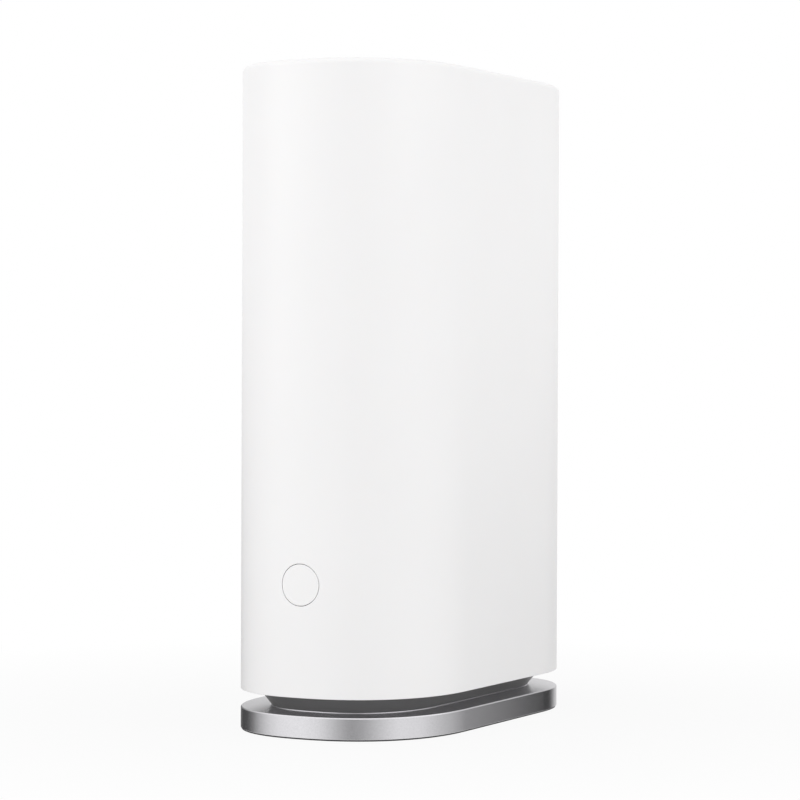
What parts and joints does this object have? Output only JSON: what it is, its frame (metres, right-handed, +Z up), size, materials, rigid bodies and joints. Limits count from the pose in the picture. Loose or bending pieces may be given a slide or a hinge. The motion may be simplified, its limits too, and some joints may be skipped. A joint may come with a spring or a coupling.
{
  "type": "wireless router",
  "caption": "Tower wireless router: white shell on a waisted dark neck and metal base, front push-button, rear network and power sockets.",
  "frame": {"origin": "on the ground, under the middle of the part", "axes": "+Z up; the front button faces -Y; the sockets face +Y; +X is to the right of someone who faces the button"},
  "size_m": [0.087, 0.164, 0.25],
  "materials": {
    "shell_white": "satin white moulded plastic",
    "button_white": "satin white moulded plastic",
    "grille_grey": "fine matt",
    "trim_dark": "fine matt dark grey",
    "plate_metal": "satin, finely brushed, bright chamfer",
    "foot_rubber": "matt",
    "screw_steel": "zinc plated",
    "frame_plastic": "matt",
    "panel_plastic": "fine matt light grey",
    "board_green": "solder mask",
    "chip_black": "matt",
    "ivory_plastic": "matt",
    "led_lens": "clear",
    "cable_grey": "matt",
    "cable_black": "matt",
    "pad_grey": "matt",
    "sink_aluminium": "extruded",
    "shield_steel": "tinned",
    "contact_gold": "plated",
    "antenna_board": "solder mask",
    "wan_jack_plastic": "matt yellow",
    "lan_jack_plastic": "matt black",
    "coil_grey": "matt",
    "capacitor_sleeve": "gloss"
  },
  "bodies": {
    "tower": {"outer_shell": "shell_white", "top_grille": "grille_grey", "lower_housing": "trim_dark", "base_plate": "plate_metal", "foot_pad": "foot_rubber", "base_screws": "screw_steel", "shell_screws": "screw_steel", "inner_frame": "frame_plastic", "frame_screws": "screw_steel", "port_panel": "panel_plastic", "panel_screws": "screw_steel", "button_housing": "trim_dark", "button_board": "board_green", "button_screws": "screw_steel", "button_switch": "chip_black", "status_leds": "led_lens", "button_cable": "cable_grey", "cable_plugs": "ivory_plastic", "main_board": "board_green", "board_screws": "screw_steel", "processor": "chip_black", "memory_chips": "chip_black", "flash_chip": "chip_black", "thermal_pad": "pad_grey", "heat_sink": "sink_aluminium", "heat_sink_screws": "screw_steel", "radio_shield_lower": "shield_steel", "radio_shield_upper": "shield_steel", "radio_chips": "chip_black", "antenna_sockets": "contact_gold", "antenna_left": "antenna_board", "antenna_right": "antenna_board", "antenna_front": "antenna_board", "antenna_rear": "antenna_board", "antenna_cable_left": "cable_black", "antenna_cable_right": "cable_black", "antenna_cable_front": "cable_black", "antenna_cable_rear": "cable_black", "wan_jack": "wan_jack_plastic", "lan_jack_1": "lan_jack_plastic", "lan_jack_2": "lan_jack_plastic", "lan_jack_3": "lan_jack_plastic", "jack_contacts": "contact_gold", "jack_transformers": "chip_black", "power_jack": "chip_black", "power_jack_pin": "screw_steel", "reset_switch": "chip_black", "power_coils": "coil_grey", "power_capacitors": "capacitor_sleeve"},
    "front_button": {"button_cap": "button_white", "button_plunger": "ivory_plastic"},
    "reset_button": {"reset_button": "ivory_plastic"}
  },
  "joints": [
    {"name": "front_button_press", "type": "slide", "parent": "tower", "child": "front_button", "axis": [0, 1, 0], "range_m": [0, 0.0008], "stiffness_N_per_m": 2000, "springref_m": -0.0002},
    {"name": "reset_press", "type": "slide", "parent": "tower", "child": "reset_button", "axis": [0, -1, 0], "range_m": [0, 0.0004], "stiffness_N_per_m": 3000, "springref_m": -0.0002}
  ]
}
